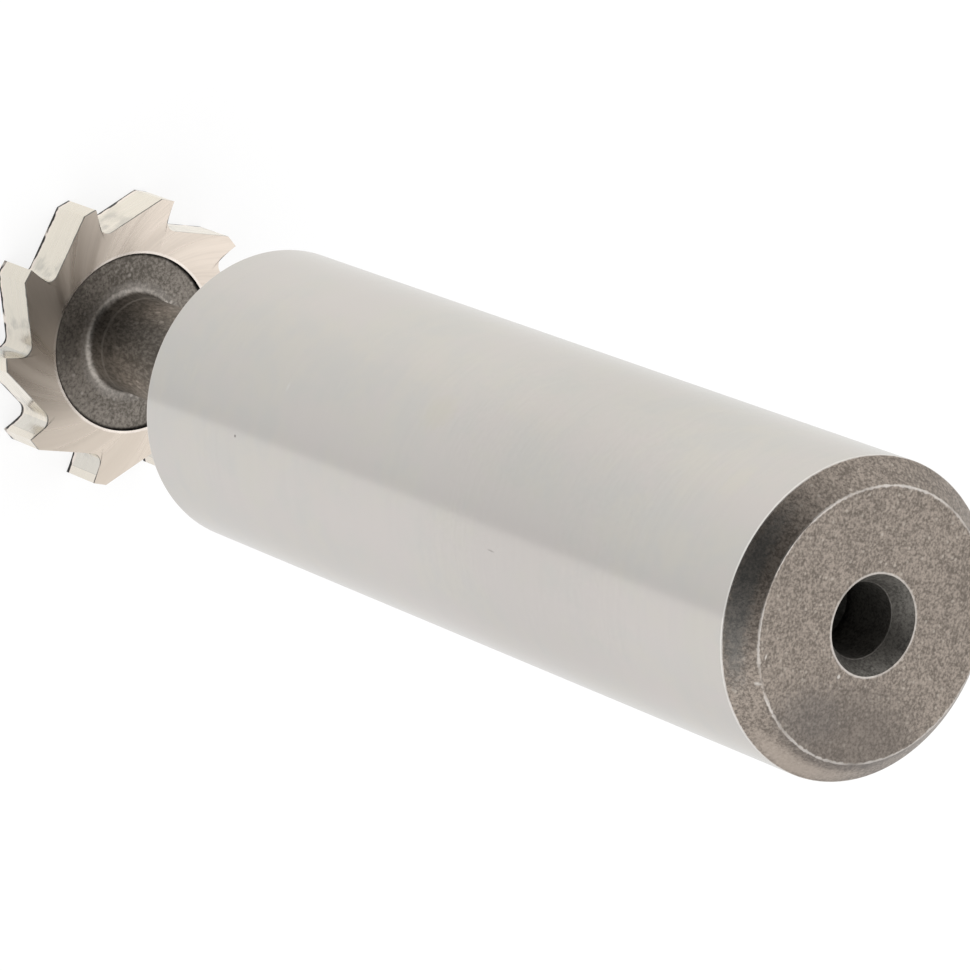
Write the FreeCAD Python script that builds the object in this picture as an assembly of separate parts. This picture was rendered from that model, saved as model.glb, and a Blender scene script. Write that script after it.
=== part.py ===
import FreeCAD, Part
import math
import os

# Keyseat cutter ground from one bar of tool steel: round shank, slim neck, toothed disc.
# It stands on the front face of its head, with +Z up along the axis towards the shank's end.
# All lengths are in millimetres and all angles in degrees.

# Lengths along the axis
head_width = 2.38
neck_length = 11.23
shank_length = 41.95

# Diameters
head_diameter = 12.96
hub_diameter = 8.00
neck_diameter = 4.32
shank_diameter = 12.70

# Teeth, which cut clockwise as seen from the shank's end
tooth_count = 10
gullet_depth = 1.27
gullet_root_radius = 0.48
rake_angle = 5.0
land_width = 0.63
land_relief_angle = 4.0

# Sides of the head, hollow ground outside a turned recess
side_hollow_angle = 1.2
hub_recess = 0.14

# Corners of the neck and the shank
neck_root_radius = 0.34
shoulder_radius = 2.00
front_edge_break = 0.15
end_chamfer_depth = 0.95
end_chamfer_length = 1.035

# Centre holes that the blank was turned and ground between
centre_angle = 60.0
drill_point_angle = 118.0
rear_centre_diameter = 3.98
rear_pilot_diameter = 3.00
rear_pilot_depth = 3.60
front_centre_diameter = 2.40
front_pilot_diameter = 1.20
front_pilot_depth = 2.00

# Room that a cutting shape takes beyond the stock it cuts
overcut = 1.0

head_radius = head_diameter / 2
hub_radius = hub_diameter / 2
neck_radius = neck_diameter / 2
shank_radius = shank_diameter / 2
blank_radius = head_radius + overcut
shoulder_z = head_width + neck_length
end_z = shoulder_z + shank_length


def at(radius, z):
    """Point of the turned profile."""
    return FreeCAD.Vector(radius, 0, z)


def polar(radius, angle):
    """Point in the plane of the teeth, by radius and angle."""
    turn = math.radians(angle)
    return FreeCAD.Vector(radius * math.cos(turn), radius * math.sin(turn), 0)


def line(start, end):
    return Part.LineSegment(start, end).toShape()


def arc(start, middle, end):
    return Part.Arc(start, middle, end).toShape()


def concave_corner(centre_radius, centre_z, radius, first_angle, last_angle):
    """Quarter round of the turned profile, from one angle about its centre to another."""
    points = []
    for angle in (first_angle, (first_angle + last_angle) / 2, last_angle):
        turn = math.radians(angle)
        points.append(at(centre_radius + radius * math.cos(turn), centre_z + radius * math.sin(turn)))
    return arc(*points)


def hollow_drop(radius):
    """How far the hollow side of the head lies below its cutting edge at this radius."""
    return (head_radius - radius) * math.tan(math.radians(side_hollow_angle))


def turned_solid(edges):
    profile = Part.Face(Part.Wire(edges))
    return profile.revolve(FreeCAD.Vector(0, 0, 0), FreeCAD.Vector(0, 0, 1), 360)


def turned_outline():
    """Edges of the blank's half section, from the front of the head round to the end of the shank."""
    hub_drop = hollow_drop(hub_radius)
    rim_rise = -hollow_drop(blank_radius)
    front_floor = hub_drop + hub_recess
    rear_floor = head_width - front_floor
    neck_start = neck_radius + neck_root_radius
    neck_end = neck_radius + shoulder_radius
    edges = [
        line(at(0, front_floor), at(hub_radius, front_floor)),
        line(at(hub_radius, front_floor), at(hub_radius, hub_drop)),
        line(at(hub_radius, hub_drop), at(blank_radius, -rim_rise)),
        line(at(blank_radius, -rim_rise), at(blank_radius, head_width + rim_rise)),
        line(at(blank_radius, head_width + rim_rise), at(hub_radius, head_width - hub_drop)),
        line(at(hub_radius, head_width - hub_drop), at(hub_radius, rear_floor)),
        line(at(hub_radius, rear_floor), at(neck_start, rear_floor)),
        concave_corner(neck_start, rear_floor + neck_root_radius, neck_root_radius, 270, 180),
        line(at(neck_radius, rear_floor + neck_root_radius), at(neck_radius, shoulder_z - shoulder_radius)),
        concave_corner(neck_end, shoulder_z - shoulder_radius, shoulder_radius, 180, 90),
        line(at(neck_end, shoulder_z), at(shank_radius - front_edge_break, shoulder_z)),
        line(at(shank_radius - front_edge_break, shoulder_z), at(shank_radius, shoulder_z + front_edge_break)),
        line(at(shank_radius, shoulder_z + front_edge_break), at(shank_radius, end_z - end_chamfer_length)),
        line(at(shank_radius, end_z - end_chamfer_length), at(shank_radius - end_chamfer_depth, end_z)),
        line(at(shank_radius - end_chamfer_depth, end_z), at(0, end_z)),
        line(at(0, end_z), at(0, front_floor)),
    ]
    return edges


def centre_hole(mouth_z, inwards, centre_diameter, pilot_diameter, pilot_depth):
    """Countersunk centre hole on the axis, with a drilled point at its bottom."""
    mouth = centre_diameter / 2
    pilot = pilot_diameter / 2
    slope = math.tan(math.radians(centre_angle / 2))
    outside = mouth_z - inwards * overcut
    cone_foot = mouth_z + inwards * (mouth - pilot) / slope
    pilot_foot = mouth_z + inwards * pilot_depth
    tip = pilot_foot + inwards * pilot / math.tan(math.radians(drill_point_angle / 2))
    outline = [
        at(0, outside),
        at(mouth + overcut * slope, outside),
        at(pilot, cone_foot),
        at(pilot, pilot_foot),
        at(0, tip),
    ]
    edges = [line(start, end) for start, end in zip(outline, outline[1:] + outline[:1])]
    return turned_solid(edges)


def turned_blank():
    """Blank as it leaves the lathe, with both centre holes."""
    blank = turned_solid(turned_outline())
    rear = centre_hole(end_z, -1, rear_centre_diameter, rear_pilot_diameter, rear_pilot_depth)
    front_z = hollow_drop(hub_radius) + hub_recess
    front = centre_hole(front_z, 1, front_centre_diameter, front_pilot_diameter, front_pilot_depth)
    return blank.cut(rear).cut(front)


def gullet_root():
    """Root arc ahead of the tooth whose cutting edge lies on the X axis.

    The arc touches the rake face and the root circle. Returns its centre and the
    point where the rake face runs into it.
    """
    rake = math.radians(rake_angle)
    tip = polar(head_radius, 0)
    down = FreeCAD.Vector(-math.cos(rake), math.sin(rake), 0)
    ahead = FreeCAD.Vector(-math.sin(rake), -math.cos(rake), 0)
    reach = head_radius - gullet_depth + gullet_root_radius
    start = tip + ahead * gullet_root_radius
    along = start.dot(down)
    travel = -along - math.sqrt(along ** 2 - start.dot(start) + reach ** 2)
    return start + down * travel, tip + down * travel


def land_heel():
    """Rear end of the land of the tooth whose cutting edge lies on the X axis."""
    relief = math.radians(land_relief_angle)
    return polar(head_radius, 0) + FreeCAD.Vector(-math.sin(relief), math.cos(relief), 0) * land_width


def back_foot(heel, centre):
    """Point where the straight back from a heel touches the root arc about this centre."""
    span = centre - heel
    swing = math.asin(gullet_root_radius / span.Length)
    run = math.sqrt(span.Length ** 2 - gullet_root_radius ** 2)
    turned = FreeCAD.Rotation(FreeCAD.Vector(0, 0, 1), math.degrees(swing)).multVec(span)
    return heel + turned.normalize() * run


def tooth_outline():
    """Closed outline of all the teeth, each a land, a straight back, a root arc and a rake face."""
    pitch = 360 / tooth_count
    root_centre, rake_foot = gullet_root()
    heel = FreeCAD.Rotation(FreeCAD.Vector(0, 0, 1), -pitch).multVec(land_heel())
    foot = back_foot(heel, root_centre)
    lowest = (foot - root_centre) + (rake_foot - root_centre)
    root_middle = root_centre + lowest.normalize() * gullet_root_radius
    edges = []
    for tooth in range(tooth_count):
        turn = FreeCAD.Rotation(FreeCAD.Vector(0, 0, 1), tooth * pitch)
        last_tip, heel_now, foot_now, middle_now, rake_now, tip_now = (
            turn.multVec(point)
            for point in (polar(head_radius, -pitch), heel, foot, root_middle, rake_foot, polar(head_radius, 0))
        )
        edges.append(line(last_tip, heel_now))
        edges.append(line(heel_now, foot_now))
        edges.append(arc(foot_now, middle_now, rake_now))
        edges.append(line(rake_now, tip_now))
    return Part.Wire(edges)


def waste_round_teeth():
    """Ring of stock that is ground away around and between the teeth."""
    height = head_width + 2 * overcut
    stock = Part.makeCylinder(blank_radius + overcut, height)
    teeth = Part.Face(tooth_outline()).extrude(FreeCAD.Vector(0, 0, height))
    ring = stock.cut(teeth)
    ring.translate(FreeCAD.Vector(0, 0, -overcut))
    return ring


cutter = turned_blank().cut(waste_round_teeth())

os.makedirs("parts", exist_ok=True)
cutter.exportStep("parts/keyseat_cutter.step")
print("keyseat cutter:", len(cutter.Solids), "solid, valid", cutter.isValid())
print("volume %.2f mm3, length %.2f mm" % (cutter.Volume, cutter.BoundBox.ZLength))
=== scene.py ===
import math
import bmesh
import bpy
from mathutils import Matrix, Vector


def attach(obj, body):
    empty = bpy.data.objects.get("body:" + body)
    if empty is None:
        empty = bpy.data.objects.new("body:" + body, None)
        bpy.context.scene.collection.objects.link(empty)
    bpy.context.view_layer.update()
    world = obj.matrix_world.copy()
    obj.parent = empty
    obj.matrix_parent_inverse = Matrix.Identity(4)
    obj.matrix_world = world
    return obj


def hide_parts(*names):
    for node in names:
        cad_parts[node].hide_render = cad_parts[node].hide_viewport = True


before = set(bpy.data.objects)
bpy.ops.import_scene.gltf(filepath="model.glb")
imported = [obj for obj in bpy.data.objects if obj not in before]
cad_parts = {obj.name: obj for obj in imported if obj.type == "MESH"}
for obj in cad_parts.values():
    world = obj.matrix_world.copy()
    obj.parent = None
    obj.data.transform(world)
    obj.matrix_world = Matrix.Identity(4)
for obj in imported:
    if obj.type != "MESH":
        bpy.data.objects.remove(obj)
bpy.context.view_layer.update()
print("frame loaded:", ", ".join(sorted(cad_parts)))

mm = 0.001


def addNode(tree, kind, feeds=None, **settings):
    # feeds gives each input either a plain value or the output that it takes
    made = tree.nodes.new("ShaderNode" + kind)
    for name, value in settings.items():
        setattr(made, name, value)
    for name, value in (feeds or {}).items():
        if isinstance(value, bpy.types.NodeSocket):
            tree.links.new(value, made.inputs[name])
        else:
            made.inputs[name].default_value = value
    return made


def maths(tree, operation, *values, clamp=False):
    made = addNode(tree, "Math", dict(enumerate(values)), operation=operation, use_clamp=clamp)
    return made.outputs["Value"]


def vectorMaths(tree, operation, *values):
    return addNode(tree, "VectorMath", dict(enumerate(values)), operation=operation).outputs


def fade(tree, value, low, high, bottom=0.0, top=1.0):
    # smooth change from bottom to top as value goes from low to high
    feeds = {"Value": value, "From Min": low, "From Max": high, "To Min": bottom, "To Max": top}
    return addNode(tree, "MapRange", feeds, interpolation_type="SMOOTHSTEP").outputs["Result"]


def blendColours(tree, amount, first, second):
    return addNode(tree, "Mix", {0: amount, 6: first, 7: second}, data_type="RGBA").outputs[2]


def stretched(tree, point, scale):
    return vectorMaths(tree, "MULTIPLY", point, scale)["Vector"]


def noise(tree, point, scale, detail=2.0, roughness=0.5):
    feeds = {"Vector": point, "Scale": scale, "Detail": detail, "Roughness": roughness}
    return addNode(tree, "TexNoise", feeds).outputs["Fac"]


def heightOf(tree, point):
    return addNode(tree, "SeparateXYZ", {0: point}).outputs["Z"]


def radiusOf(tree, point):
    # distance of the point from the cutter's axis
    return vectorMaths(tree, "LENGTH", stretched(tree, point, (1, 1, 0)))["Value"]


def newGroup(name, inputs, outputs):
    kinds = {"value": "NodeSocketFloat", "colour": "NodeSocketColor", "vector": "NodeSocketVector"}
    group = bpy.data.node_groups.new(name, "ShaderNodeTree")
    for label, kind, value in inputs:
        socket = group.interface.new_socket(label, in_out="INPUT", socket_type=kinds[kind])
        if value is not None:
            socket.default_value = value
    for label, kind in outputs:
        group.interface.new_socket(label, in_out="OUTPUT", socket_type=kinds[kind])
    given = group.nodes.new("NodeGroupInput").outputs
    out = group.nodes.new("NodeGroupOutput").inputs
    return group, given, out


def useGroup(tree, group, feeds):
    return addNode(tree, "Group", feeds, node_tree=group).outputs


def newMetal(name):
    # the point that comes back is the surface's place in millimetres
    material = bpy.data.materials.new(name)
    material.use_nodes = True
    tree = material.node_tree
    shader = tree.nodes["Principled BSDF"]
    shader.inputs["Metallic"].default_value = 1.0
    place = addNode(tree, "TexCoord").outputs["Object"]
    return material, tree, shader, stretched(tree, place, (1 / mm,) * 3)


def finishMetal(tree, shader, colour, roughness, height, depth):
    # depth is in millimetres for a height of 1
    tree.links.new(colour, shader.inputs["Base Color"])
    tree.links.new(roughness, shader.inputs["Roughness"])
    bump = addNode(tree, "Bump", {"Strength": 1.0, "Distance": depth * mm, "Height": height})
    tree.links.new(bump.outputs["Normal"], shader.inputs["Normal"])


# Camera, placed in millimetres from the front of the head
view = {
    "place": (-16.98, -159.34, 240.09),
    "forward": (0.0655, 0.6028, -0.7952),
    "up": (-0.9588, -0.1829, -0.2176),
    "lens": 240.68,
}
cameraData = bpy.data.cameras.new("camera")
cameraData.lens = view["lens"]
cameraData.sensor_fit = "HORIZONTAL"
camera = bpy.data.objects.new("camera", cameraData)
bpy.context.scene.collection.objects.link(camera)
ahead = Vector(view["forward"]).normalized()
right = ahead.cross(Vector(view["up"])).normalized()
above = right.cross(ahead)
facing = Matrix((right, above, -ahead)).transposed().to_4x4()
camera.matrix_world = Matrix.Translation(Vector(view["place"]) * mm) @ facing
bpy.context.scene.camera = camera
print("camera set")

# Cutter, in degrees and in millimetres up the axis from the front of the head to the end of the shank
cutter = {
    "teeth": 10,
    "headRadius": 6.48,
    "headWidth": 2.38,
    "gulletDepth": 1.27,
    "rootRadius": 0.48,
    "rake": 5.0,
    "land": 0.63,
    "landRelief": 4.0,
    "sideHollow": 1.2,
    "hubRadius": 4.00,
    "hubRecess": 0.14,
    "neckRadius": 2.16,
    "neckFillet": 0.34,
    "neckLength": 11.23,
    "shoulderFillet": 2.00,
    "shankRadius": 6.35,
    "shankLength": 41.95,
    "edgeBreak": 0.15,
    "chamferIn": 0.95,
    "chamferAlong": 1.035,
    "rearCentre": {"mouth": 1.99, "pilot": 1.50, "depth": 3.60},
    "frontCentre": {"mouth": 1.20, "pilot": 0.60, "depth": 2.00},
    "centreAngle": 60.0,
    "drillPoint": 118.0,
    "softEdge": 0.022,        # how far a sharp edge is rounded over
    "softAngle": 35.0,        # edges that turn by more than this are rounded
    "softSegments": 2,
    "creaseAngle": 20.0,      # edges that turn by more than this aren't shaded smooth
    "edgeHold": 0.06,         # how far from an edge a ring keeps the shading of a long face true
    "weldDistance": 0.002,    # points nearer than this are joined
    "neckSteps": 8,           # steps of the fillets at the neck's two ends
    "shoulderSteps": 12,
    "landSteps": 2,
    "backSteps": 11,
    "rootSteps": 7,
    "rakeSteps": 4,
    "ringLead": 4.5,          # degrees that the hub's ring runs ahead of the tips it is joined to
}
shoulderZ = cutter["headWidth"] + cutter["neckLength"]
endZ = shoulderZ + cutter["shankLength"]
chamferZ = endZ - cutter["chamferAlong"]
countersinkSlope = math.tan(math.radians(cutter["centreAngle"] / 2))
pitch = 360 / cutter["teeth"]
pitchSteps = cutter["landSteps"] + cutter["backSteps"] + cutter["rootSteps"] + cutter["rakeSteps"]


def sideDrop(radius):
    # how far the hollow side lies below its cutting edge
    return (cutter["headRadius"] - radius) * math.tan(math.radians(cutter["sideHollow"]))


hubEdgeZ = cutter["headWidth"] - sideDrop(cutter["hubRadius"])


def polar(radius, degrees, height=0.0):
    turn = math.radians(degrees)
    return Vector((radius * math.cos(turn), radius * math.sin(turn), height))


def runTo(bm, vert, place):
    grown = bmesh.ops.extrude_vert_indiv(bm, verts=[vert])["verts"][0]
    grown.co = place
    return grown


def runHeld(bm, vert, corner):
    # a straight run with a ring near each end
    start, corner = vert.co.copy(), Vector(corner)
    hold = (corner - start).normalized() * cutter["edgeHold"]
    for place in (start + hold, corner - hold, corner):
        vert = runTo(bm, vert, place)
    return vert


def arcRound(bm, vert, centre, axis, degrees, steps):
    turned = bmesh.ops.spin(
        bm, geom=[vert], cent=centre, axis=axis, angle=math.radians(degrees), steps=steps,
    )
    return [item for item in turned["geom_last"] if isinstance(item, bmesh.types.BMVert)][0]


def countersinkDepth(centre):
    return (centre["mouth"] - centre["pilot"]) / countersinkSlope


def drillCentre(bm, vert, mouthZ, inwards, centre):
    # countersink, pilot and drill point, down to the axis
    point = centre["pilot"] / math.tan(math.radians(cutter["drillPoint"] / 2))
    vert = runHeld(bm, vert, (centre["mouth"], 0, mouthZ))
    vert = runTo(bm, vert, (centre["pilot"], 0, mouthZ + inwards * countersinkDepth(centre)))
    vert = runTo(bm, vert, (centre["pilot"], 0, mouthZ + inwards * centre["depth"]))
    runTo(bm, vert, (0, 0, mouthZ + inwards * (centre["depth"] + point)))


def turnRear(bm):
    # from the edge of the recess up the neck and shank to the bottom of the rear centre hole
    hub, neck, shank = cutter["hubRadius"], cutter["neckRadius"], cutter["shankRadius"]
    fillet, shoulder, edge = cutter["neckFillet"], cutter["shoulderFillet"], cutter["edgeBreak"]
    floorZ = hubEdgeZ - cutter["hubRecess"]
    vert = bm.verts.new((hub, 0, hubEdgeZ))
    vert = runTo(bm, vert, (hub, 0, floorZ))
    vert = runTo(bm, vert, (neck + fillet, 0, floorZ))
    turnAxis = (0, 1, 0)
    vert = arcRound(bm, vert, (neck + fillet, 0, floorZ + fillet), turnAxis, 90, cutter["neckSteps"])
    vert = runTo(bm, vert, (neck, 0, shoulderZ - shoulder))
    centre = (neck + shoulder, 0, shoulderZ - shoulder)
    vert = arcRound(bm, vert, centre, turnAxis, 90, cutter["shoulderSteps"])
    vert = runTo(bm, vert, (shank - edge, 0, shoulderZ))
    vert = runTo(bm, vert, (shank, 0, shoulderZ + edge))
    vert = runHeld(bm, vert, (shank, 0, chamferZ))
    vert = runHeld(bm, vert, (shank - cutter["chamferIn"], 0, endZ))
    drillCentre(bm, vert, endZ, -1, cutter["rearCentre"])


def turnFront(bm):
    hub = cutter["hubRadius"]
    floorZ = sideDrop(hub) + cutter["hubRecess"]
    vert = bm.verts.new((hub, 0, sideDrop(hub)))
    vert = runTo(bm, vert, (hub, 0, floorZ))
    drillCentre(bm, vert, floorZ, 1, cutter["frontCentre"])


def toothCorners():
    # tip, heel, foot of the back, centre of the root, foot of the rake face and next tip
    rake, relief = math.radians(cutter["rake"]), math.radians(cutter["landRelief"])
    root = cutter["rootRadius"]
    tip = polar(cutter["headRadius"], 0)
    inwards = Vector((-math.cos(rake), math.sin(rake), 0))
    clear = tip + Vector((-math.sin(rake), -math.cos(rake), 0)) * root
    reach = cutter["headRadius"] - cutter["gulletDepth"] + root
    along = clear.dot(inwards)
    travel = -along - math.sqrt(along ** 2 - clear.dot(clear) + reach ** 2)
    centre, rakeFoot = clear + inwards * travel, tip + inwards * travel
    heel = tip + Vector((-math.sin(relief), math.cos(relief), 0)) * cutter["land"]
    turn = Matrix.Rotation(math.radians(pitch), 3, "Z")
    heelBefore = turn.inverted() @ heel
    span = centre - heelBefore
    swing = Matrix.Rotation(math.asin(root / span.length), 3, "Z")
    backFoot = heelBefore + (swing @ span).normalized() * math.sqrt(span.length ** 2 - root ** 2)
    return tip, heel, turn @ backFoot, turn @ centre, turn @ rakeFoot, turn @ tip


def runStraight(bm, row, corner, steps):
    start = row[-1].co.copy()
    for step in range(steps):
        row.append(runTo(bm, row[-1], start.lerp(corner, (step + 1) / steps)))


def toothOutline(bm):
    # one pitch of the outline as a row of joined points
    tip, heel, backFoot, centre, rakeFoot, nextTip = toothCorners()
    row = [bm.verts.new(tip)]
    runStraight(bm, row, heel, cutter["landSteps"])
    runStraight(bm, row, backFoot, cutter["backSteps"])
    sweep = math.degrees((backFoot - centre).angle(rakeFoot - centre)) / cutter["rootSteps"]
    for step in range(cutter["rootSteps"]):
        row.append(arcRound(bm, row[-1], centre, (0, 0, 1), -sweep, 1))
    runStraight(bm, row, nextTip, cutter["rakeSteps"])
    return row


def drawOut(bm, row, places):
    # pulls a row of points out to new places and leaves faces behind it
    edges = [bm.edges.get(pair) for pair in zip(row, row[1:])]
    fresh = set(bmesh.ops.extrude_edge_only(bm, edges=edges)["geom"])
    newRow = []
    for vert in row:
        newRow += [edge.other_vert(vert) for edge in vert.link_edges if edge.other_vert(vert) in fresh]
    for vert, place in zip(newRow, places):
        vert.co = place
    return newRow


def sidePlaces(outline, ring, level):
    # rows of places from the teeth's outline in to the hub, on the hollow side
    middle = [first.lerp(last, 0.5) for first, last in zip(outline, ring)]
    return [
        [Vector((place.x, place.y, level(place.xy.length))) for place in row]
        for row in (outline, middle, ring)
    ]


def cutTeeth(bm):
    # one tooth with both its sides, repeated round the axis
    row = toothOutline(bm)
    outline = [vert.co.copy() for vert in row]
    ring = [
        polar(cutter["hubRadius"], cutter["ringLead"] + step * pitch / pitchSteps)
        for step in range(pitchSteps + 1)
    ]
    rear = sidePlaces(outline, ring, lambda radius: cutter["headWidth"] - sideDrop(radius))
    front = sidePlaces(outline, ring, sideDrop)
    for vert, place in zip(row, rear[0]):
        vert.co = place
    frontRow = drawOut(bm, row, front[0])
    drawOut(bm, drawOut(bm, row, rear[1]), rear[2])
    drawOut(bm, drawOut(bm, frontRow, front[1]), front[2])
    bmesh.ops.spin(
        bm, geom=bm.verts[:] + bm.edges[:] + bm.faces[:], cent=(0, 0, 0), axis=(0, 0, 1),
        angle=math.radians(360 - pitch), steps=cutter["teeth"] - 1, use_duplicate=True,
    )


def spinRound(bm):
    # the profile starts where the hub's ring of the teeth does
    lead = Matrix.Rotation(math.radians(cutter["ringLead"]), 3, "Z")
    bmesh.ops.rotate(bm, verts=bm.verts[:], cent=(0, 0, 0), matrix=lead)
    bmesh.ops.spin(
        bm, geom=bm.verts[:] + bm.edges[:], cent=(0, 0, 0), axis=(0, 0, 1),
        angle=math.tau, steps=cutter["teeth"] * pitchSteps, use_merge=True,
    )


def buildCutter():
    mesh = bpy.data.meshes.new("keyseatCutter")
    bm = bmesh.new()
    for makePiece, turned in ((turnRear, True), (turnFront, True), (cutTeeth, False)):
        piece = bmesh.new()
        makePiece(piece)
        if turned:
            spinRound(piece)
        piece.to_mesh(mesh)
        piece.free()
        bm.from_mesh(mesh)
    bmesh.ops.remove_doubles(bm, verts=bm.verts[:], dist=cutter["weldDistance"])
    bmesh.ops.recalc_face_normals(bm, faces=bm.faces[:])
    softAngle = math.radians(cutter["softAngle"])
    bmesh.ops.bevel(
        bm, geom=[edge for edge in bm.edges if edge.calc_face_angle(0) > softAngle],
        offset=cutter["softEdge"], offset_type="OFFSET", affect="EDGES",
        segments=cutter["softSegments"], profile=0.5, material=-1, clamp_overlap=True,
    )
    return bm, mesh


finishes = ["groundShank", "endScale", "holeScale", "neckScale", "groundSide", "toothBack", "toothFace"]


def finishOf(face):
    # which finish a face has, from its place
    middle = face.calc_center_median()
    radius, z = middle.xy.length, middle.z
    slack, hair = 0.012, 0.001
    sideFacing, rakeFacing = 0.9, 0.75   # least share of the normal along the axis, or ahead
    if z > shoulderZ + slack:
        if radius < cutter["rearCentre"]["mouth"] - slack and z < endZ - slack:
            return "holeScale"
        return "endScale" if z > chamferZ - hair else "groundShank"
    if radius < cutter["frontCentre"]["mouth"] and z < cutter["headWidth"]:
        return "holeScale"
    if radius < cutter["hubRadius"] + slack or z > cutter["headWidth"] + slack:
        return "neckScale"
    if abs(face.normal.z) > sideFacing:
        return "groundSide"
    return "toothFace" if face.normal.cross(middle).z > rakeFacing * radius else "toothBack"


bm, cutterMesh = buildCutter()
for face in bm.faces:
    face.smooth = True
    face.material_index = finishes.index(finishOf(face))
for edge in bm.edges:
    edge.smooth = edge.calc_face_angle(0) < math.radians(cutter["creaseAngle"])
openEdges = sum(not edge.is_manifold for edge in bm.edges)
volume = round(bm.calc_volume(), 1)
print("cutter built:", len(bm.faces), "faces,", openEdges, "open edges,", volume, "cubic mm")
bmesh.ops.scale(bm, vec=(mm, mm, mm), verts=bm.verts[:])
bm.to_mesh(cutterMesh)
bm.free()
cutterPiece = bpy.data.objects.new("keyseatCutter", cutterMesh)
bpy.context.scene.collection.objects.link(cutterPiece)
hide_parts("keyseat_cutter")
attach(cutterPiece, "root")


# Thin furnace scale; here and below, a pair named a fade says where it begins and where it is full
furnaceScale = {
    "fineDetail": 3.0,
    "fineRoughness": 0.75,
    "fineShare": 0.8,           # of the fine noise in the grain, the rest being broad
    "broadGrain": 0.3,          # size of the broad noise, against the fine
    "fleckGrain": 0.45,
    "fleckFade": (0.34, 0.14),
    "fleckPick": (0.66, 0.74),  # leaves most of the flecks out
    "fleckPolish": -0.12,
    "fleckHeight": 0.3,
    "mottleScale": 0.25,
    "mottleFade": (0.35, 0.65),
    "contrast": (0.36, 0.64),
}


def makeScaleGroup():
    # fine grain, soft mottling and pale flecks where steel shows through
    group, given, out = newGroup(
        "furnaceScale",
        [
            ("Point", "vector", None), ("Dark", "colour", (0.05, 0.045, 0.04, 1)),
            ("Pale", "colour", (0.3, 0.28, 0.25, 1)), ("Fleck", "colour", (0.55, 0.52, 0.48, 1)),
            ("Grain", "value", 8.0), ("Flecks", "value", 0.5), ("Mottle", "value", 0.1),
            ("Gloss", "value", 0.44),
        ],
        [("Colour", "colour"), ("Roughness", "value"), ("Height", "value")],
    )
    point, grain = given["Point"], given["Grain"]
    share = furnaceScale["fineShare"]
    fine = noise(group, point, grain, furnaceScale["fineDetail"], furnaceScale["fineRoughness"])
    broad = noise(group, point, maths(group, "MULTIPLY", grain, furnaceScale["broadGrain"]))
    mottle = noise(group, point, furnaceScale["mottleScale"])
    mottle = fade(group, mottle, *furnaceScale["mottleFade"], -0.5, 0.5)
    body = maths(group, "MULTIPLY_ADD", broad, 1 - share, maths(group, "MULTIPLY", fine, share))
    body = maths(group, "MULTIPLY_ADD", mottle, given["Mottle"], body)
    feeds = {"Vector": point, "Scale": maths(group, "MULTIPLY", grain, furnaceScale["fleckGrain"])}
    cells = addNode(group, "TexVoronoi", feeds, feature="F1").outputs
    pick = vectorMaths(group, "DOT_PRODUCT", cells["Color"], (1, 0, 0))["Value"]
    fleck = fade(group, cells["Distance"], *furnaceScale["fleckFade"])
    fleck = maths(group, "MULTIPLY", fleck, given["Flecks"])
    fleck = maths(group, "MULTIPLY", fleck, fade(group, pick, *furnaceScale["fleckPick"]))
    paleness = fade(group, body, *furnaceScale["contrast"])
    colour = blendColours(group, paleness, given["Dark"], given["Pale"])
    roughness = maths(group, "MULTIPLY_ADD", fleck, furnaceScale["fleckPolish"], given["Gloss"])
    group.links.new(blendColours(group, fleck, colour, given["Fleck"]), out["Colour"])
    group.links.new(roughness, out["Roughness"])
    group.links.new(maths(group, "MULTIPLY_ADD", fleck, furnaceScale["fleckHeight"], fine), out["Height"])
    return group


grindLines = {
    "detail": 4.0,
    "roughness": 0.7,
    "bandFade": (0.3, 0.7),   # over which the broad bands change how rough the steel is
}


def makeGrindGroup():
    # grinding lines: the point comes in stretched along them
    group, given, out = newGroup(
        "grindLines",
        [("Point", "vector", None), ("Fine", "value", 1.0), ("Broad", "value", 1.0)],
        [("Lines", "value"), ("Bands", "value")],
    )
    point = given["Point"]
    lines = noise(group, point, given["Fine"], grindLines["detail"], grindLines["roughness"])
    group.links.new(lines, out["Lines"])
    group.links.new(noise(group, point, given["Broad"]), out["Bands"])
    return group


edgeWearAndLight = {
    "raggedScale": 5.0,
    "raggedDetail": 3.0,
    "raggedRoughness": 0.6,
    "core": 0.3,                # share of the width at full strength
    "faintScale": 0.45,
    "faintFade": (0.36, 0.54),
    "faintness": -0.3,
    "polish": 0.1,              # how much smoother a bright edge line is, and rougher the line of painted corner shade
}


def makeEdgeGroup():
    # a line along a round edge, given by the edge's radius and height; it lays on worn steel, painted
    # highlights and painted shade
    group, given, out = newGroup(
        "edgeWearAndLight",
        [
            ("Point", "vector", None), ("Radius", "value", 5.0), ("Height", "value", 5.0),
            ("Width", "value", 0.05), ("Breakup", "value", 0.5),
        ],
        [("Mask", "value")],
    )
    point, width, breakup = given["Point"], given["Width"], given["Breakup"]
    across = maths(group, "SUBTRACT", radiusOf(group, point), given["Radius"])
    along = maths(group, "SUBTRACT", heightOf(group, point), given["Height"])
    away = maths(group, "MULTIPLY_ADD", across, across, maths(group, "MULTIPLY", along, along))
    ragged = noise(
        group, point, edgeWearAndLight["raggedScale"], edgeWearAndLight["raggedDetail"], edgeWearAndLight["raggedRoughness"],
    )
    ragged = maths(group, "SUBTRACT", ragged, 0.5)
    ragged = maths(group, "MULTIPLY", maths(group, "MULTIPLY", ragged, breakup), width)
    away = maths(group, "ADD", maths(group, "SQRT", away), ragged)
    line = fade(group, away, width, maths(group, "MULTIPLY", width, edgeWearAndLight["core"]))
    faintest = maths(group, "MULTIPLY_ADD", breakup, edgeWearAndLight["faintness"], 1.0)
    faint = noise(group, point, edgeWearAndLight["faintScale"])
    faint = fade(group, faint, *edgeWearAndLight["faintFade"], faintest, 1.0)
    group.links.new(maths(group, "MULTIPLY", line, faint, clamp=True), out["Mask"])
    return group


markEdge = {"raggedScale": 6.0, "raggedness": 0.6, "fade": (1.25, 0.6)}


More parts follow.
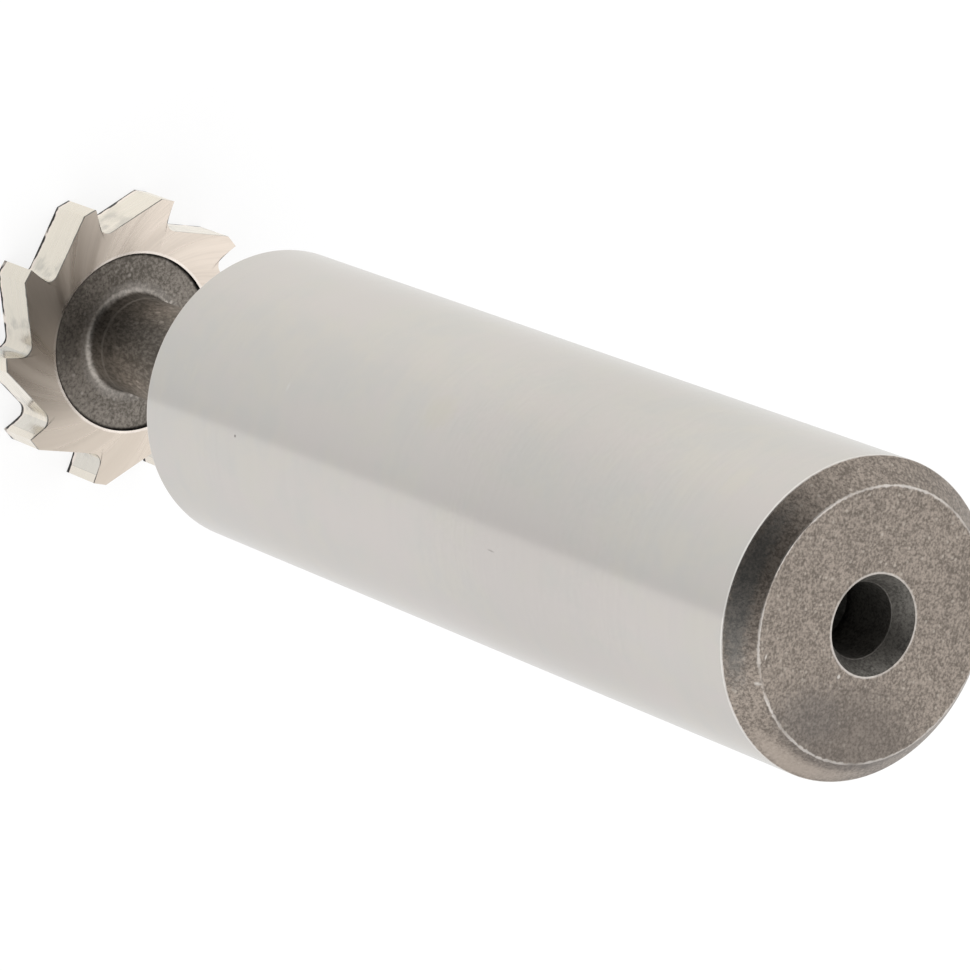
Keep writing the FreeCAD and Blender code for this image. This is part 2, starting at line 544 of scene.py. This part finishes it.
def makeMarkGroup():
    # one small patch round a point, with ragged edges; marks and painted light and shade both use it
    group, given, out = newGroup(
        "markAndLightPatch",
        [("Point", "vector", None), ("Centre", "vector", None), ("Size", "vector", (1.0, 1.0, 1.0))],
        [("Mask", "value")],
    )
    away = vectorMaths(group, "SUBTRACT", given["Point"], given["Centre"])["Vector"]
    away = vectorMaths(group, "DIVIDE", away, given["Size"])["Vector"]
    reach = vectorMaths(group, "LENGTH", away)["Value"]
    ragged = noise(group, given["Point"], markEdge["raggedScale"])
    reach = maths(group, "MULTIPLY_ADD", ragged, markEdge["raggedness"], reach)
    group.links.new(fade(group, reach, *markEdge["fade"]), out["Mask"])
    return group


scaleGroup = makeScaleGroup()
grindGroup = makeGrindGroup()
edgeGroup = makeEdgeGroup()
markGroup = makeMarkGroup()

# Lines along round edges, by finish: worn bare steel, painted highlights where edges catch light, and
# painted shade in a corner
bareSteelAndHighlight = (0.74, 0.70, 0.66, 1)
paintedHighlight = (0.86, 0.84, 0.80, 1)
cornerShade = (0.012, 0.011, 0.010, 1)
rear = cutter["rearCentre"]
edgeLines = {
    # painted highlights where the shank's two edges catch light
    "groundShank": [
        {
            "radius": cutter["shankRadius"], "height": chamferZ - 0.05,
            "width": 0.065, "breakup": 1.0, "strength": 0.75, "tone": paintedHighlight,
        },
        {
            "radius": cutter["shankRadius"], "height": shoulderZ + cutter["edgeBreak"],
            "width": 0.05, "breakup": 1.0, "strength": 0.8, "tone": bareSteelAndHighlight,
        },
    ],
    # worn bare steel along the scale's edges, partly painted highlight where they catch light
    "endScale": [
        {
            "radius": cutter["shankRadius"], "height": chamferZ,
            "width": 0.05, "breakup": 1.2, "strength": 0.8, "tone": bareSteelAndHighlight,
        },
        {
            "radius": cutter["shankRadius"] - cutter["chamferIn"], "height": endZ,
            "width": 0.08, "breakup": 2.4, "strength": 0.56, "tone": bareSteelAndHighlight,
        },
        {
            "radius": rear["mouth"] + 0.03, "height": endZ,
            "width": 0.075, "breakup": 1.2, "strength": 0.55, "tone": bareSteelAndHighlight,
        },
    ],
    # worn bare steel round the pilot's rim, partly painted highlight
    "holeScale": [
        {
            "radius": rear["pilot"], "height": endZ - countersinkDepth(rear),
            "width": 0.06, "breakup": 1.6, "strength": 0.35, "tone": bareSteelAndHighlight,
        },
    ],
    # painted highlight along the outer edge of the recess
    "groundSide": [
        {
            "radius": cutter["hubRadius"] + 0.05, "height": hubEdgeZ,
            "width": 0.09, "breakup": 0.8, "strength": 0.6, "tone": (0.95, 0.88, 0.82, 1),
        },
    ],
    "neckScale": [
        # painted highlight on a ridge of the neck
        {
            "radius": cutter["neckRadius"], "height": hubEdgeZ + 0.86,
            "width": 0.13, "breakup": 1.4, "strength": 0.34, "tone": bareSteelAndHighlight,
        },
        # painted highlight along the neck's root fillet
        {
            "radius": cutter["neckRadius"] + 0.30, "height": hubEdgeZ - 0.10,
            "width": 0.36, "breakup": 1.4, "strength": 0.15, "tone": bareSteelAndHighlight,
        },
        # painted shade in the recess's corner, at the foot of its wall
        {
            "radius": cutter["hubRadius"], "height": hubEdgeZ - 0.09,
            "width": 0.19, "breakup": 0.5, "strength": 0.95, "tone": cornerShade,
        },
    ],
}


def onShank(degrees, height):
    return polar(cutter["shankRadius"], degrees, height)


def onEnd(x, y):
    return Vector((x, y, endZ))


def onChamfer(degrees):
    aboveFoot = 0.35
    return polar(cutter["shankRadius"] - cutter["chamferIn"] / 2, degrees, chamferZ + aboveFoot)


# Marks of handling, and patches of painted light and shade, by finish; size is half the mark's length along
# each axis
markTones = {
    "pit": (0.16, 0.15, 0.14, 1),
    "scratch": (0.30, 0.29, 0.27, 1),
    "scuff": (0.85, 0.84, 0.81, 1),
    "nick": (0.78, 0.74, 0.69, 1),
    "stain": (0.62, 0.59, 0.43, 1),
    "paleStain": (0.72, 0.68, 0.52, 1),
    "rearDarkening": (0.50, 0.485, 0.462, 1),
    "smudge": (0.128, 0.112, 0.101, 1),
    "blueSmudge": (0.125, 0.124, 0.128, 1),
    # painted highlight, for one side of the chamfer
    "chamferHighlight": (0.47, 0.405, 0.350, 1),
    # painted shade, for another side of the chamfer
    "coolScale": (0.130, 0.140, 0.140, 1),
    # painted shade, for the hole's depths and the recess beside the neck
    "paintedShade": (0.025, 0.025, 0.023, 1),
}
marksAndPaintedLight = {
    "groundShank": [
        {"at": onShank(-76.6, 20.67), "size": (0.09, 0.09, 0.09), "strength": 0.80, "tone": "pit"},
        {"at": onShank(-101.1, 23.43), "size": (0.25, 0.25, 0.06), "strength": 0.25, "tone": "scuff"},
        {"at": onShank(-71.7, 39.39), "size": (0.06, 0.06, 0.32), "strength": 0.45, "tone": "scratch"},
        {"at": onShank(-23.0, 26.30), "size": (0.05, 0.05, 0.14), "strength": 0.40, "tone": "scratch"},
        {"at": onShank(-112.2, 33.46), "size": (1.10, 1.10, 1.30), "strength": 0.16, "tone": "stain"},
        {"at": onShank(-127.0, 51.60), "size": (1.40, 1.40, 0.80), "strength": 0.14, "tone": "paleStain"},
        # darker all round the rear part of the shank
        {"at": (0.0, 0.0, 41.50), "size": (14.0, 14.0, 11.0), "strength": 0.20, "tone": "rearDarkening"},
        {"at": onShank(34.0, 29.00), "size": (0.40, 0.40, 0.05), "strength": 0.30, "tone": "scuff"},
        {"at": onShank(120.0, 44.00), "size": (0.07, 0.07, 0.50), "strength": 0.35, "tone": "scratch"},
    ],
    "endScale": [
        {"at": onEnd(4.8, 0.4), "size": (3.60, 5.60, 0.60), "strength": 0.52, "tone": "smudge"},
        {"at": onEnd(3.9, -1.8), "size": (1.50, 2.30, 0.60), "strength": 0.18, "tone": "blueSmudge"},
        # painted highlight on one side of the chamfer
        {"at": onChamfer(-12.0), "size": (1.60, 4.60, 0.55), "strength": 0.68, "tone": "chamferHighlight"},
        # painted shade on another side of the chamfer
        {"at": onChamfer(-90.0), "size": (5.40, 2.80, 0.55), "strength": 0.56, "tone": "coolScale"},
        {"at": onEnd(3.13, -4.60), "size": (0.13, 0.20, 0.30), "strength": 0.75, "tone": "nick"},
        {"at": onEnd(2.05, -4.64), "size": (0.16, 0.06, 0.10), "strength": 0.50, "tone": "nick"},
        {"at": onEnd(2.18, -0.95), "size": (0.12, 0.10, 0.10), "strength": 0.60, "tone": "nick"},
    ],
    "holeScale": [
        # painted shade deep in the rear centre hole
        {"at": (0.0, 0.0, endZ - 4.00), "size": (5.00, 5.00, 1.30), "strength": 0.96, "tone": "paintedShade"},
    ],
    "neckScale": [
        # painted shade in the recess beside the neck
        {"at": polar(3.4, -76.0, hubEdgeZ), "size": (1.70, 1.10, 0.80), "strength": 0.34, "tone": "paintedShade"},
    ],
}


def addEdgeWearAndLight(tree, point, name, colour, roughness):
    for line in edgeLines[name]:
        feeds = {
            "Point": point, "Radius": line["radius"], "Height": line["height"],
            "Width": line["width"], "Breakup": line["breakup"],
        }
        mask = maths(tree, "MULTIPLY", useGroup(tree, edgeGroup, feeds)["Mask"], line["strength"])
        colour = blendColours(tree, mask, colour, line["tone"])
        rougher = edgeWearAndLight["polish"] if line["tone"] is cornerShade else -edgeWearAndLight["polish"]
        roughness = maths(tree, "MULTIPLY_ADD", mask, rougher, roughness)
    return colour, roughness


def addMarks(tree, point, name, colour):
    for mark in marksAndPaintedLight.get(name, []):
        feeds = {"Point": point, "Centre": mark["at"], "Size": mark["size"]}
        mask = maths(tree, "MULTIPLY", useGroup(tree, markGroup, feeds)["Mask"], mark["strength"])
        colour = blendColours(tree, mask, colour, markTones[mark["tone"]])
    return colour


groundShank = {
    "warm": (0.648, 0.620, 0.577, 1),
    "cool": (0.629, 0.609, 0.580, 1),
    "rosy": (0.652, 0.613, 0.588, 1),
    "mark": (0.50, 0.48, 0.46, 1),
    "cloudDetail": 5.0,
    "cloudRoughness": 0.68,
    "coolScale": 0.45,
    "coolFade": (0.40, 0.60),
    "rosyScale": 0.28,
    "rosyStretch": (1.0, 1.0, 0.6),
    "rosyFade": (0.42, 0.62),
    "rosyShare": 0.9,
    "markFade": (0.3, 0.7),
    "markShare": 0.07,
    "grazing": (0.934, 0.937, 0.928, 1),   # tint where the shank is seen edge on
    "roughness": (0.18, 0.20),             # least and most, in turn along the grinding's bands
    "lineStretch": (0.12, 0.12, 9.0),      # grinding lines run round the shank
    "fineLines": 1.0,
    "broadBands": 0.7,
    "lineDepth": 0.0004,
}


def makeGroundShank():
    material, tree, shader, point = newMetal("groundShank")
    shader.inputs["Specular Tint"].default_value = groundShank["grazing"]
    lines = useGroup(tree, grindGroup, {
        "Point": stretched(tree, point, groundShank["lineStretch"]),
        "Fine": groundShank["fineLines"], "Broad": groundShank["broadBands"],
    })
    cloud = groundShank["cloudDetail"], groundShank["cloudRoughness"]
    cool = noise(tree, point, groundShank["coolScale"], *cloud)
    cool = fade(tree, cool, *groundShank["coolFade"])
    rosyPoint = stretched(tree, point, groundShank["rosyStretch"])
    rosy = noise(tree, rosyPoint, groundShank["rosyScale"], *cloud)
    rosy = fade(tree, rosy, *groundShank["rosyFade"], 0.0, groundShank["rosyShare"])
    colour = blendColours(tree, cool, groundShank["warm"], groundShank["cool"])
    colour = blendColours(tree, rosy, colour, groundShank["rosy"])
    scored = fade(tree, lines["Lines"], *groundShank["markFade"], 0.0, groundShank["markShare"])
    colour = blendColours(tree, scored, colour, groundShank["mark"])
    roughness = fade(tree, lines["Bands"], *grindLines["bandFade"], *groundShank["roughness"])
    colour = addMarks(tree, point, "groundShank", colour)
    colour, roughness = addEdgeWearAndLight(tree, point, "groundShank", colour, roughness)
    finishMetal(tree, shader, colour, roughness, lines["Lines"], groundShank["lineDepth"])
    return material


scaleFinishes = {
    "endScale": {
        "dark": (0.152, 0.130, 0.111, 1), "pale": (0.365, 0.314, 0.270, 1), "fleck": (0.52, 0.47, 0.41, 1),
        "grain": 8.5, "flecks": 0.45, "mottle": 0.02, "drawn": 1.0, "gloss": 0.44, "depth": 0.010,
    },
    "holeScale": {
        "dark": (0.106, 0.100, 0.091, 1), "pale": (0.232, 0.220, 0.200, 1), "fleck": (0.36, 0.35, 0.32, 1),
        "grain": 8.0, "flecks": 0.40, "mottle": 0.05, "drawn": 1.0, "gloss": 0.60, "depth": 0.010,
    },
    "neckScale": {
        "dark": (0.122, 0.109, 0.094, 1), "pale": (0.285, 0.256, 0.226, 1), "fleck": (0.50, 0.46, 0.42, 1),
        "grain": 6.5, "flecks": 0.45, "mottle": 0.08, "drawn": 0.5, "gloss": 0.44, "depth": 0.006,
    },
}


def makeScale(name):
    values = scaleFinishes[name]
    material, tree, shader, point = newMetal(name)
    # the grain is drawn out along the axis
    grainPoint = stretched(tree, point, (1, 1, values["drawn"]))
    scale = useGroup(tree, scaleGroup, {
        "Point": grainPoint, "Dark": values["dark"], "Pale": values["pale"], "Fleck": values["fleck"],
        "Grain": values["grain"], "Flecks": values["flecks"], "Mottle": values["mottle"],
        "Gloss": values["gloss"],
    })
    colour = addMarks(tree, point, name, scale["Colour"])
    colour, roughness = addEdgeWearAndLight(tree, point, name, colour, scale["Roughness"])
    finishMetal(tree, shader, colour, roughness, scale["Height"], values["depth"])
    return material


groundSide = {
    "colour": (0.768, 0.680, 0.596, 1),
    "shaded": (0.600, 0.527, 0.458, 1),
    "shadeTone": (0.600, 0.530, 0.455, 1),
    "shadeSide": -35.0,       # degrees round the head to the side darkened with painted shade
    "shadeShare": 0.75,
    "roughness": (0.25, 0.35),
    "sweep": 0.85,           # how far the wheel's marks curl round as they run inwards
    "markStart": 2.721,      # where a pass of the wheel begins, in tooth pitches
    "markCrowd": 16.0,       # how close the marks lie across a pass
    "markRun": 0.30,         # how soon they change along it
    "markShift": 7.3,        # keeps the marks of one pass unlike those of the next
    "fineLines": 1.0,
    "broadBands": 0.25,
    "markFade": (0.35, 0.75),
    "markShare": 0.48,
    "creaseWidth": 0.035,    # of the crease where two passes meet, in tooth pitches
    "creaseShare": 0.35,
    "passTilt": -0.17,       # heights of the swell across a pass and of the marks
    "markTilt": 0.03,
    "tiltDepth": 0.05,
}


def makeGroundSide():
    # each tooth's side is ground in one pass of a cup wheel, whose marks curl in from behind the tip
    material, tree, shader, point = newMetal("groundSide")
    parts = addNode(tree, "SeparateXYZ", {0: point}).outputs
    radius = radiusOf(tree, point)
    turn = maths(tree, "ARCTAN2", parts["Y"], parts["X"])
    inwards = maths(tree, "LOGARITHM", radius, math.e)
    curl = maths(tree, "MULTIPLY_ADD", inwards, groundSide["sweep"], turn)
    passes = maths(tree, "DIVIDE", curl, math.radians(pitch))
    passes = maths(tree, "SUBTRACT", passes, groundSide["markStart"])
    across = maths(tree, "FRACT", passes)
    marks = addNode(tree, "CombineXYZ", {
        0: maths(tree, "MULTIPLY", across, groundSide["markCrowd"]),
        1: maths(tree, "MULTIPLY", radius, groundSide["markRun"]),
        2: maths(tree, "MULTIPLY", maths(tree, "FLOOR", passes), groundSide["markShift"]),
    }).outputs[0]
    lines = useGroup(tree, grindGroup, {
        "Point": marks, "Fine": groundSide["fineLines"], "Broad": groundSide["broadBands"],
    })
    scored = fade(tree, lines["Lines"], *groundSide["markFade"], 0.0, groundSide["markShare"])
    colour = blendColours(tree, scored, groundSide["colour"], groundSide["shaded"])
    # painted shade along the crease where two passes of the wheel meet
    crease = fade(tree, across, groundSide["creaseWidth"], 0.0, 0.0, groundSide["creaseShare"])
    colour = blendColours(tree, crease, colour, groundSide["shaded"])
    # painted shade: one side of the head is darkened, by its angle round the axis
    sideShade = maths(tree, "SUBTRACT", turn, math.radians(groundSide["shadeSide"]))
    sideShade = fade(tree, maths(tree, "COSINE", sideShade), -1.0, 1.0, 0.0, groundSide["shadeShare"])
    colour = blendColours(tree, sideShade, colour, groundSide["shadeTone"])
    roughness = fade(tree, lines["Bands"], *grindLines["bandFade"], *groundSide["roughness"])
    colour, roughness = addEdgeWearAndLight(tree, point, "groundSide", colour, roughness)
    swell = maths(tree, "COSINE", maths(tree, "MULTIPLY", passes, math.tau))
    tilt = maths(tree, "MULTIPLY", lines["Lines"], groundSide["markTilt"])
    tilt = maths(tree, "MULTIPLY_ADD", swell, groundSide["passTilt"], tilt)
    finishMetal(tree, shader, colour, roughness, tilt, groundSide["tiltDepth"])
    return material


toothFinish = {
    "back": (0.86, 0.80, 0.70, 1),
    "face": (0.735, 0.705, 0.64, 1),
    "marks": (0.70, 0.66, 0.58, 1),
    "dirt": (0.38, 0.38, 0.36, 1),
    "roughness": (0.20, 0.32),
    "lineStretch": (0.5, 0.5, 7.0),   # grinding lines run across the tooth
    "fineLines": 1.0,
    "broadBands": 0.3,
    "lineDepth": 0.0012,
    "markFade": (0.35, 0.8),
    "markShare": 0.25,
    "filmScale": 0.9,
    "filmDetail": 3.0,
    "filmRoughness": 0.55,
    "filmFade": (0.46, 0.68),
    "filmRadii": (5.9, 5.35),   # the film begins down the tooth, and is full in the gullet
    "filmShare": 0.5,
    "stripDepth": 0.35,         # depth of the finer ground strip behind the cutting edge
    "stripEdge": 0.05,
    "stripShare": 0.8,
    "stripLine": 2.4,           # strength of the line along the strip's foot
}

# Burrs along the two edges of a tooth, partly painted shade where the rounded edges mirror dark, and a
# painted highlight beside the front one; widths, reaches and raggedness are in millimetres
burrsShadeAndGlint = {
    "line": (0.035, 0.035, 0.033, 1),
    "glintTone": (0.96, 0.84, 0.77, 1),
    "frontWidth": 0.15,
    "frontSoft": (0.03, -0.02),   # how far past its width the front line begins, and is full
    "rearWidth": 0.13,
    "rearSoft": 0.06,
    "rearShare": 0.88,
    "raggedScale": 1.6,
    "raggedFade": (0.3, 0.7),
    "raggedness": 0.07,
    "rearRagged": 0.4,            # share of the raggedness that the rear line has
    "gapScale": 0.9,
    "gapFade": (0.33, 0.43),
    "glintReach": (0.20, 0.05),   # how far past the front line the glint begins, and is full
    "glintShare": 0.6,
}


def addBurrsShadeAndGlint(tree, point, colour):
    # dark lines where the sides of the head meet the tooth, partly burr and partly painted shade, and a
    # painted highlight beside the front one
    z = heightOf(tree, point)
    ragged = noise(tree, point, burrsShadeAndGlint["raggedScale"])
    ragged = fade(tree, ragged, *burrsShadeAndGlint["raggedFade"], -burrsShadeAndGlint["raggedness"], burrsShadeAndGlint["raggedness"])
    frontZ, rearZ = burrsShadeAndGlint["frontWidth"], cutter["headWidth"] - burrsShadeAndGlint["rearWidth"]
    begins, full = burrsShadeAndGlint["glintReach"]
    glint = fade(tree, z, frontZ + begins, frontZ + full, 0.0, burrsShadeAndGlint["glintShare"])
    colour = blendColours(tree, glint, colour, burrsShadeAndGlint["glintTone"])
    begins, full = burrsShadeAndGlint["frontSoft"]
    front = fade(tree, maths(tree, "ADD", z, ragged), frontZ + begins, frontZ + full)
    gaps = fade(tree, noise(tree, point, burrsShadeAndGlint["gapScale"]), *burrsShadeAndGlint["gapFade"])
    colour = blendColours(tree, maths(tree, "MULTIPLY", front, gaps), colour, burrsShadeAndGlint["line"])
    back = maths(tree, "MULTIPLY_ADD", ragged, burrsShadeAndGlint["rearRagged"], z)
    back = fade(tree, back, rearZ, rearZ + burrsShadeAndGlint["rearSoft"], 0.0, burrsShadeAndGlint["rearShare"])
    return blendColours(tree, back, colour, burrsShadeAndGlint["line"])


def makeTooth(name):
    material, tree, shader, point = newMetal(name)
    radius = radiusOf(tree, point)
    lines = useGroup(tree, grindGroup, {
        "Point": stretched(tree, point, toothFinish["lineStretch"]),
        "Fine": toothFinish["fineLines"], "Broad": toothFinish["broadBands"],
    })
    main = toothFinish["back" if name == "toothBack" else "face"]
    scored = fade(tree, lines["Lines"], *toothFinish["markFade"], 0.0, toothFinish["markShare"])
    colour = blendColours(tree, scored, main, toothFinish["marks"])
    # grey film left in the gullets
    film = noise(
        tree, point, toothFinish["filmScale"], toothFinish["filmDetail"], toothFinish["filmRoughness"],
    )
    film = fade(tree, film, *toothFinish["filmFade"])
    deep = fade(tree, radius, *toothFinish["filmRadii"], 0.0, toothFinish["filmShare"])
    colour = blendColours(tree, maths(tree, "MULTIPLY", film, deep), colour, toothFinish["dirt"])
    if name == "toothFace":
        foot, share = cutter["headRadius"] - toothFinish["stripDepth"], toothFinish["stripShare"]
        strip = fade(tree, radius, foot - toothFinish["stripEdge"], foot, 0.0, share)
        colour = blendColours(tree, strip, colour, toothFinish["back"])
        line = maths(tree, "MULTIPLY", strip, maths(tree, "SUBTRACT", share, strip))
        line = maths(tree, "MULTIPLY", line, toothFinish["stripLine"])
        colour = blendColours(tree, line, colour, toothFinish["dirt"])
    colour = addBurrsShadeAndGlint(tree, point, colour)
    roughness = fade(tree, lines["Bands"], *grindLines["bandFade"], *toothFinish["roughness"])
    finishMetal(tree, shader, colour, roughness, lines["Lines"], toothFinish["lineDepth"])
    return material


def makeFinish(name):
    if name == "groundShank":
        return makeGroundShank()
    if name == "groundSide":
        return makeGroundSide()
    return makeScale(name) if name in scaleFinishes else makeTooth(name)


for name in finishes:
    cutterMesh.materials.append(makeFinish(name))
print("finishes made:", ", ".join(finishes))

# Floor, room and lamps, in metres
studio = {
    "floorSize": 3.0,
    "floorTone": 0.98,
    "floorRoughness": 0.8,
    "shadowShare": 0.22,       # how much of the floor's own shading the camera sees
    "worldLight": 0.90,
    "darkSide": (-0.182, -0.788, 0.588),   # direction of a dark part of the room, a painted reflection that only mirrored rays see
    "darkSpread": (0.45, 0.90),            # cosines from that direction where dark begins and is full
    "paintedReflectionSeam": -66.2,         # degrees round the axis to the seam of the painted reflection that metal mirrors in the floor
    "paintedReflectionTones": [             # share of the way round from the seam, and the tone there
        (0.00, (0.970, 0.970, 0.970)),
        (0.10, (0.968, 0.968, 0.973)),
        (0.16, (0.945, 0.945, 0.950)),
        (0.21, (0.931, 0.922, 0.928)),
        (0.27, (0.936, 0.927, 0.931)),
        (0.33, (0.966, 0.960, 0.962)),
        (0.42, (0.975, 0.975, 0.975)),
        (0.49, (0.985, 0.985, 0.978)),
        (0.58, (0.990, 0.985, 0.970)),
        (0.70, (1.000, 1.000, 0.985)),
        (0.75, (0.990, 0.985, 0.970)),
        (0.80, (0.942, 0.942, 0.934)),
        (0.85, (0.901, 0.906, 0.903)),
        (0.92, (0.854, 0.862, 0.859)),
        (0.96, (0.826, 0.834, 0.835)),
        (1.00, (0.780, 0.782, 0.785)),
    ],
}


def plainRays(tree):
    # 1 for rays from the camera, and for rays mirrored in a piece or sent through one
    path = addNode(tree, "LightPath").outputs
    bent = maths(tree, "ADD", path["Is Glossy Ray"], path["Is Transmission Ray"])
    return path, maths(tree, "ADD", path["Is Camera Ray"], bent, clamp=True)


def makePaintedReflection(tree):
    # painted reflection: tones laid round the axis, as a curved card would give, for metal to mirror in the
    # floor
    place = addNode(tree, "TexCoord").outputs["Object"]
    turn = (0, 0, math.radians(180 - studio["paintedReflectionSeam"]))
    feeds = {"Vector": place, "Rotation": turn}
    turned = addNode(tree, "Mapping", feeds, vector_type="POINT").outputs["Vector"]
    share = addNode(tree, "TexGradient", {"Vector": turned}, gradient_type="RADIAL").outputs["Fac"]
    tones = addNode(tree, "ValToRGB", {"Fac": share})
    stops = tones.color_ramp.elements
    first, last = studio["paintedReflectionTones"][0], studio["paintedReflectionTones"][-1]
    for stop, (position, tone) in zip((stops[0], stops[1]), (first, last)):
        stop.position, stop.color = position, tone + (1,)
    for position, tone in studio["paintedReflectionTones"][1:-1]:
        stops.new(position).color = tone + (1,)
    return tones.outputs["Color"]


def makeFloor():
    material = bpy.data.materials.new("paleFloor")
    material.use_nodes = True
    tree = material.node_tree
    plain = tree.nodes["Principled BSDF"]
    plain.inputs["Base Color"].default_value = (studio["floorTone"],) * 3 + (1,)
    plain.inputs["Roughness"].default_value = studio["floorRoughness"]
    plain.inputs["Specular IOR Level"].default_value = 0.0
    path, seenPlain = plainRays(tree)
    # the floor glows: white for the camera, and the painted reflection's tones for mirrored rays
    colour = blendColours(tree, path["Is Glossy Ray"], (1, 1, 1, 1), makePaintedReflection(tree))
    seen = addNode(tree, "Emission", {"Color": colour, "Strength": 1.0}).outputs["Emission"]
    shadow = maths(tree, "MULTIPLY", path["Is Camera Ray"], studio["shadowShare"])
    share = maths(tree, "SUBTRACT", seenPlain, shadow)
    mixed = addNode(tree, "MixShader", {0: share, 1: plain.outputs["BSDF"], 2: seen})
    tree.links.new(mixed.outputs["Shader"], tree.nodes["Material Output"].inputs["Surface"])
    sheet = bmesh.new()
    bmesh.ops.create_grid(sheet, x_segments=1, y_segments=1, size=studio["floorSize"] / 2)
    mesh = bpy.data.meshes.new("floor")
    sheet.to_mesh(mesh)
    sheet.free()
    mesh.materials.append(material)
    floor = bpy.data.objects.new("floor", mesh)
    bpy.context.scene.collection.objects.link(floor)


def makeWorld():
    world = bpy.data.worlds.new("studio")
    world.use_nodes = True
    tree = world.node_tree
    tree.nodes.clear()
    direction = addNode(tree, "TexCoord").outputs["Generated"]
    darkSide = Vector(studio["darkSide"]).normalized()
    toDark = vectorMaths(tree, "DOT_PRODUCT", direction, darkSide)["Value"]
    begins, full = studio["darkSpread"]
    path, seenPlain = plainRays(tree)
    # painted reflection: the dark part shows only to mirrored rays
    dark = maths(tree, "MULTIPLY", fade(tree, toDark, begins, full), path["Is Glossy Ray"])
    colour = blendColours(tree, dark, (1, 1, 1, 1), (0, 0, 0, 1))
    white = addNode(tree, "Background", {"Color": colour, "Strength": 1.0}).outputs[0]
    feeds = {"Color": (1, 1, 1, 1), "Strength": studio["worldLight"]}
    soft = addNode(tree, "Background", feeds).outputs[0]
    mixed = addNode(tree, "MixShader", {0: seenPlain, 1: soft, 2: white})
    tree.links.new(mixed.outputs[0], addNode(tree, "OutputWorld").inputs["Surface"])
    bpy.context.scene.world = world


lamps = {
    "key": {"place": (0.5, -0.3, 0.8), "size": 1.2, "power": 3.6},
    "fill": {"place": (-0.6, 0.4, 0.7), "size": 1.2, "power": 2.4},
}


def hangLamps():
    for name, lamp in lamps.items():
        data = bpy.data.lights.new(name, "AREA")
        data.shape = "SQUARE"
        data.size = lamp["size"]
        data.energy = lamp["power"]
        hung = bpy.data.objects.new(name, data)
        hung.location = lamp["place"]
        hung.rotation_euler = (-Vector(lamp["place"])).to_track_quat("-Z", "Y").to_euler()
        bpy.context.scene.collection.objects.link(hung)


makeFloor()
makeWorld()
hangLamps()
bpy.context.scene.view_settings.view_transform = "Standard"
print("studio ready")
